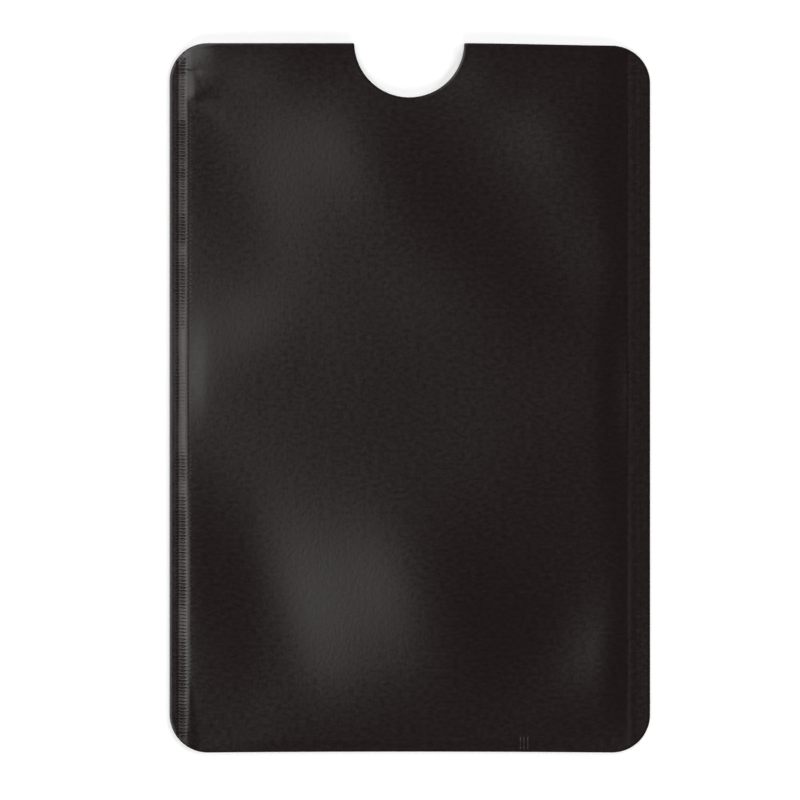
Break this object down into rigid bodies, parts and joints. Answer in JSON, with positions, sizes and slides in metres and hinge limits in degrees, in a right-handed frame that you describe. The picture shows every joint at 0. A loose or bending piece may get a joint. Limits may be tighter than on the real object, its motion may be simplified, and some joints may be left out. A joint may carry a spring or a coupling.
{
  "type": "card sleeve",
  "caption": "Flat foil laminate sleeve that shields a contactless card, welded on three sides, with an open mouth and a half-round thumb notch.",
  "frame": {"origin": "centre of the back wall's outer face, on the surface that the sleeve lies on", "axes": "+X across the sleeve, to the right as seen from the front; +Y up the sleeve to its open mouth; +Z out of the front wall"},
  "size_m": [0.063, 0.093, 0.0014],
  "materials": {
    "black_film": "satin black laminating film with a fine linen grain",
    "shield_foil": "bright rolled foil",
    "heat_seal_lining": "milky heat-seal film over foil",
    "melted_seal": "melted and pressed heat-seal film"
  },
  "bodies": {
    "root": {"back_outer_film": "black_film", "back_shield_foil": "shield_foil", "back_lining": "heat_seal_lining", "left_side_seal": "melted_seal", "right_side_seal": "melted_seal", "bottom_seal": "melted_seal", "front_lining": "heat_seal_lining", "front_shield_foil": "shield_foil", "front_outer_film": "black_film"}
  },
  "joints": []
}
